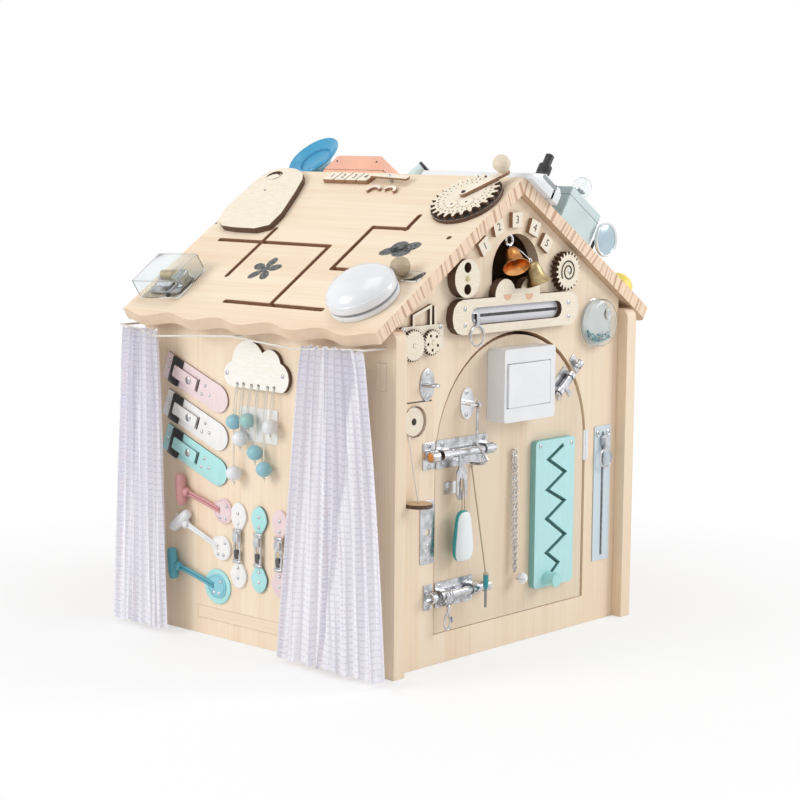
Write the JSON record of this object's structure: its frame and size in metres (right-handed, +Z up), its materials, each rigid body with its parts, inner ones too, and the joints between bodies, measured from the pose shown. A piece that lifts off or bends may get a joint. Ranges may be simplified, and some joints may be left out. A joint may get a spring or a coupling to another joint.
{
  "type": "busy house",
  "caption": "Wooden play house with an arched front door, its faces fitted with bolts, hooks, bells, zips, gears, beads, straps, curtains, a lamp and a mirror.",
  "frame": {"origin": "centre of the base board's underside, 20 mm above the ground that the walls stand on", "axes": "+Z up; the gable with the arched door faces -Y; the long side with the curtains faces -X"},
  "size_m": [0.5254, 0.4699, 0.6015],
  "materials": {
    "pine": "light pine, clear matt finish",
    "plywood": "laser-cut plywood, pale faces and scorched edges",
    "steel": "bright plated steel",
    "mirror_glass": "silvered, with a bright rim",
    "copper": "bright copper-coloured metal",
    "brass": "aged brass",
    "white_plastic": "gloss white",
    "mint_plastic": "mint green, satin",
    "clear_plastic": "clear plastic, stored half transparent",
    "teal_rubber": "teal, satin",
    "cord": "thin white cord",
    "cloth": "thin pale lilac cloth",
    "pale_blue_tape": "pale blue zip tape",
    "pink_strap": "pale pink stiffened strap",
    "white_strap": "white stiffened strap",
    "mint_strap": "mint green stiffened strap",
    "blue_plastic": "bright blue gloss",
    "peach_plastic": "peach, satin",
    "grey_blue_plastic": "pale grey-blue, satin",
    "blue_bead": "blue",
    "white_bead": "white",
    "mint_bead": "mint green"
  },
  "bodies": {
    "house": {"base_board": "pine", "left_wall": "pine", "right_wall": "pine", "front_panel": "pine", "back_panel": "pine", "left_roof": "pine", "right_roof": "pine", "zip_plate": "plywood", "gear_board": "plywood", "side_zip_tape": "pale_blue_tape", "cloud": "plywood", "strap_1": "pink_strap", "strap_2": "white_strap", "strap_3": "mint_strap", "curtain_left": "cloth", "curtain_right": "cloth", "curtain_cord": "cord", "lamp_base": "white_plastic", "music_box": "clear_plastic", "cover_plate": "plywood", "horn": "blue_plastic", "slab": "peach_plastic", "phone_box": "grey_blue_plastic", "mirror_arm": "steel"},
    "door": {"front_door": "pine", "bolt_plate": "steel", "lower_bolt_plate": "steel", "corner_bolt_plate": "steel", "doorbell_box": "white_plastic", "zigzag_board": "mint_plastic"},
    "bolt_rod": {"bolt_rod": "steel"},
    "bob": {"bob": "teal_rubber"},
    "lower_bolt_rod": {"lower_bolt_rod": "steel"},
    "corner_bolt_rod": {"corner_bolt_rod": "steel"},
    "gate_hook": {"gate_hook": "steel"},
    "doorbell_rocker": {"doorbell_rocker": "white_plastic"},
    "zigzag_knob": {"zigzag_knob": "mint_plastic"},
    "chain_bell": {"chain_bell": "steel"},
    "pointer": {"pointer": "cord"},
    "copper_bell": {"copper_bell": "copper"},
    "brass_bell": {"brass_bell": "brass"},
    "button_disc": {"button_disc": "plywood"},
    "spiral_gear": {"spiral_gear": "plywood"},
    "bead_drum": {"bead_drum": "clear_plastic"},
    "face_wheel": {"face_wheel": "plywood"},
    "big_gear": {"big_gear": "plywood"},
    "small_gear": {"small_gear": "plywood"},
    "zip_slider": {"zip_slider": "steel"},
    "side_zip_slider": {"side_zip_slider": "steel"},
    "pull_disc": {"pull_disc": "plywood"},
    "bead_string_1": {"bead_string_1": "blue_bead"},
    "bead_string_2": {"bead_string_2": "white_bead"},
    "bead_string_3": {"bead_string_3": "mint_bead"},
    "bead_string_4": {"bead_string_4": "blue_bead"},
    "bead_string_5": {"bead_string_5": "blue_bead"},
    "bead_string_6": {"bead_string_6": "white_bead"},
    "gear_spinner": {"gear_spinner": "plywood"},
    "spinner_crank": {"spinner_crank": "plywood"},
    "push_lamp": {"push_lamp": "white_plastic"},
    "mirror": {"mirror": "mirror_glass"}
  },
  "joints": [
    {"name": "door_hinge", "type": "hinge", "parent": "house", "child": "door", "pos_m": [0.1395, -0.1954, -0.02], "axis": [0, 0, 1], "range_deg": [0, 100]},
    {"name": "bolt_slide", "type": "slide", "parent": "door", "child": "bolt_rod", "axis": [-1, 0, 0], "range_m": [0, 0.012]},
    {"name": "bob_swing", "type": "hinge", "parent": "bolt_rod", "child": "bob", "pos_m": [-0.10781, -0.21096, 0.19592], "axis": [-1, 0, 0], "range_deg": [0, 60]},
    {"name": "lower_bolt_slide", "type": "slide", "parent": "door", "child": "lower_bolt_rod", "axis": [-1, 0, 0], "range_m": [0, 0.012]},
    {"name": "corner_bolt_slide", "type": "slide", "parent": "door", "child": "corner_bolt_rod", "axis": [0.7771, 0, 0.6293], "range_m": [0, 0.012]},
    {"name": "gate_hook_turn", "type": "hinge", "parent": "door", "child": "gate_hook", "pos_m": [-0.08627, -0.2124, 0.28045], "axis": [-1, 0, 0], "range_deg": [0, 95]},
    {"name": "rocker_press", "type": "hinge", "parent": "door", "child": "doorbell_rocker", "pos_m": [0.03587, -0.2219, 0.29835], "axis": [0, 0, 1], "range_deg": [-1.79, 0], "stiffness_Nm_per_rad": 0.4},
    {"name": "zigzag_slide", "type": "slide", "parent": "door", "child": "zigzag_knob", "axis": [0.7989, 0, 0.6015], "range_m": [0, 0.024]},
    {"name": "chain_bell_swing", "type": "hinge", "parent": "door", "child": "chain_bell", "pos_m": [-0.00134, -0.19878, 0.21723], "axis": [-1, 0, 0], "range_deg": [0, 60]},
    {"name": "pointer_swing", "type": "hinge", "parent": "door", "child": "pointer", "pos_m": [-0.07778, -0.1975, 0.20604], "axis": [-1, 0, 0], "range_deg": [0, 60]},
    {"name": "copper_bell_swing", "type": "hinge", "parent": "house", "child": "copper_bell", "pos_m": [-0.0052, -0.1879, 0.4597], "axis": [-1, 0, 0], "range_deg": [0, 25]},
    {"name": "brass_bell_swing", "type": "hinge", "parent": "house", "child": "brass_bell", "pos_m": [-0.0028, -0.1879, 0.4597], "axis": [-1, 0, 0], "range_deg": [0, 25]},
    {"name": "button_disc_spin", "type": "hinge", "parent": "house", "child": "button_disc", "pos_m": [-0.10104, -0.1954, 0.42595], "axis": [0, -1, 0], "continuous": true},
    {"name": "spiral_gear_spin", "type": "hinge", "parent": "house", "child": "spiral_gear", "pos_m": [0.08805, -0.1954, 0.42605], "axis": [0, -1, 0], "continuous": true},
    {"name": "bead_drum_spin", "type": "hinge", "parent": "house", "child": "bead_drum", "pos_m": [0.158, -0.1954, 0.35901], "axis": [0, -1, 0], "continuous": true},
    {"name": "face_wheel_spin", "type": "hinge", "parent": "house", "child": "face_wheel", "pos_m": [-0.175, -0.1954, 0.26702], "axis": [0, -1, 0], "continuous": true},
    {"name": "big_gear_spin", "type": "hinge", "parent": "house", "child": "big_gear", "pos_m": [-0.18651, -0.1954, 0.35458], "axis": [0, -1, 0], "continuous": true},
    {"name": "small_gear_spin", "type": "hinge", "parent": "house", "child": "small_gear", "pos_m": [-0.15498, -0.1954, 0.35624], "axis": [0, -1, 0], "continuous": true},
    {"name": "zip_slide", "type": "slide", "parent": "house", "child": "zip_slider", "axis": [1, 0, 0], "range_m": [0, 0.149]},
    {"name": "side_zip_slide", "type": "slide", "parent": "house", "child": "side_zip_slider", "axis": [0, 0, -1], "range_m": [0, 0.14]},
    {"name": "pull_disc_swing", "type": "hinge", "parent": "house", "child": "pull_disc", "pos_m": [-0.18801, -0.1975, 0.25001], "axis": [-1, 0, 0], "range_deg": [0, 60]},
    {"name": "bead_string_1_swing", "type": "hinge", "parent": "house", "child": "bead_string_1", "pos_m": [-0.2316, 0.0378, 0.29453], "axis": [0, 1, 0], "range_deg": [0, 60]},
    {"name": "bead_string_2_swing", "type": "hinge", "parent": "house", "child": "bead_string_2", "pos_m": [-0.2316, 0.02722, 0.29453], "axis": [0, 1, 0], "range_deg": [0, 60]},
    {"name": "bead_string_3_swing", "type": "hinge", "parent": "house", "child": "bead_string_3", "pos_m": [-0.2316, 0.01382, 0.29453], "axis": [0, 1, 0], "range_deg": [0, 60]},
    {"name": "bead_string_4_swing", "type": "hinge", "parent": "house", "child": "bead_string_4", "pos_m": [-0.2316, 0.0021, 0.29453], "axis": [0, 1, 0], "range_deg": [0, 60]},
    {"name": "bead_string_5_swing", "type": "hinge", "parent": "house", "child": "bead_string_5", "pos_m": [-0.2316, -0.0134, 0.29453], "axis": [0, 1, 0], "range_deg": [0, 60]},
    {"name": "bead_string_6_swing", "type": "hinge", "parent": "house", "child": "bead_string_6", "pos_m": [-0.2316, -0.02398, 0.29453], "axis": [0, 1, 0], "range_deg": [0, 60]},
    {"name": "spinner_spin", "type": "hinge", "parent": "house", "child": "gear_spinner", "pos_m": [-0.04507, -0.15799, 0.5099], "axis": [-0.549, 0, 0.8358], "continuous": true},
    {"name": "crank_spin", "type": "hinge", "parent": "house", "child": "spinner_crank", "pos_m": [-0.05089, -0.15799, 0.51876], "axis": [-0.549, 0, 0.8358], "continuous": true},
    {"name": "lamp_press", "type": "slide", "parent": "house", "child": "push_lamp", "axis": [0.549, 0, -0.8358], "range_m": [0, 0.003], "stiffness_N_per_m": 1500, "springref_m": -0.003},
    {"name": "mirror_tilt", "type": "hinge", "parent": "house", "child": "mirror", "pos_m": [0.16482, -0.19626, 0.46115], "axis": [-0.8358, 0, 0.549], "range_deg": [-15, 15]}
  ],
  "couplings": [
    {"joint": "small_gear_spin", "follows": "big_gear_spin", "ratio": -1.25}
  ]
}
